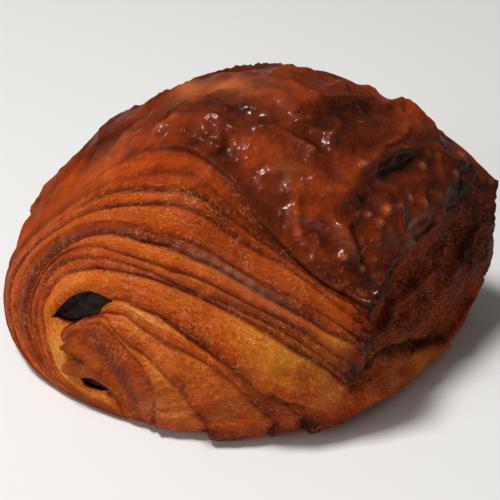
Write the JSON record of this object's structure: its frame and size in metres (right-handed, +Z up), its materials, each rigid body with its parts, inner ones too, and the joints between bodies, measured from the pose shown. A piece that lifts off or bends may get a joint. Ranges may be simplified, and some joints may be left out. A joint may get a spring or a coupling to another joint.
{
  "type": "pain au chocolat",
  "caption": "Rolled, laminated pastry baked round chocolate batons, with the layers and the chocolate showing at both cut ends.",
  "frame": {"origin": "centre of the pastry's box on the ground it rests on", "axes": "+X across the roll towards the flap's side, +Y along the batons away from the cut end with the open chocolate, +Z up"},
  "size_m": [0.1056, 0.0874, 0.0639],
  "materials": {
    "crust": "egg-washed, browned crust, glossy on the skin and dull on the cut layers",
    "chocolate": "dull dark baked chocolate"
  },
  "bodies": {
    "root": {"pastry": "crust", "chocolate_upper": "chocolate", "chocolate_lower": "chocolate"}
  },
  "joints": []
}
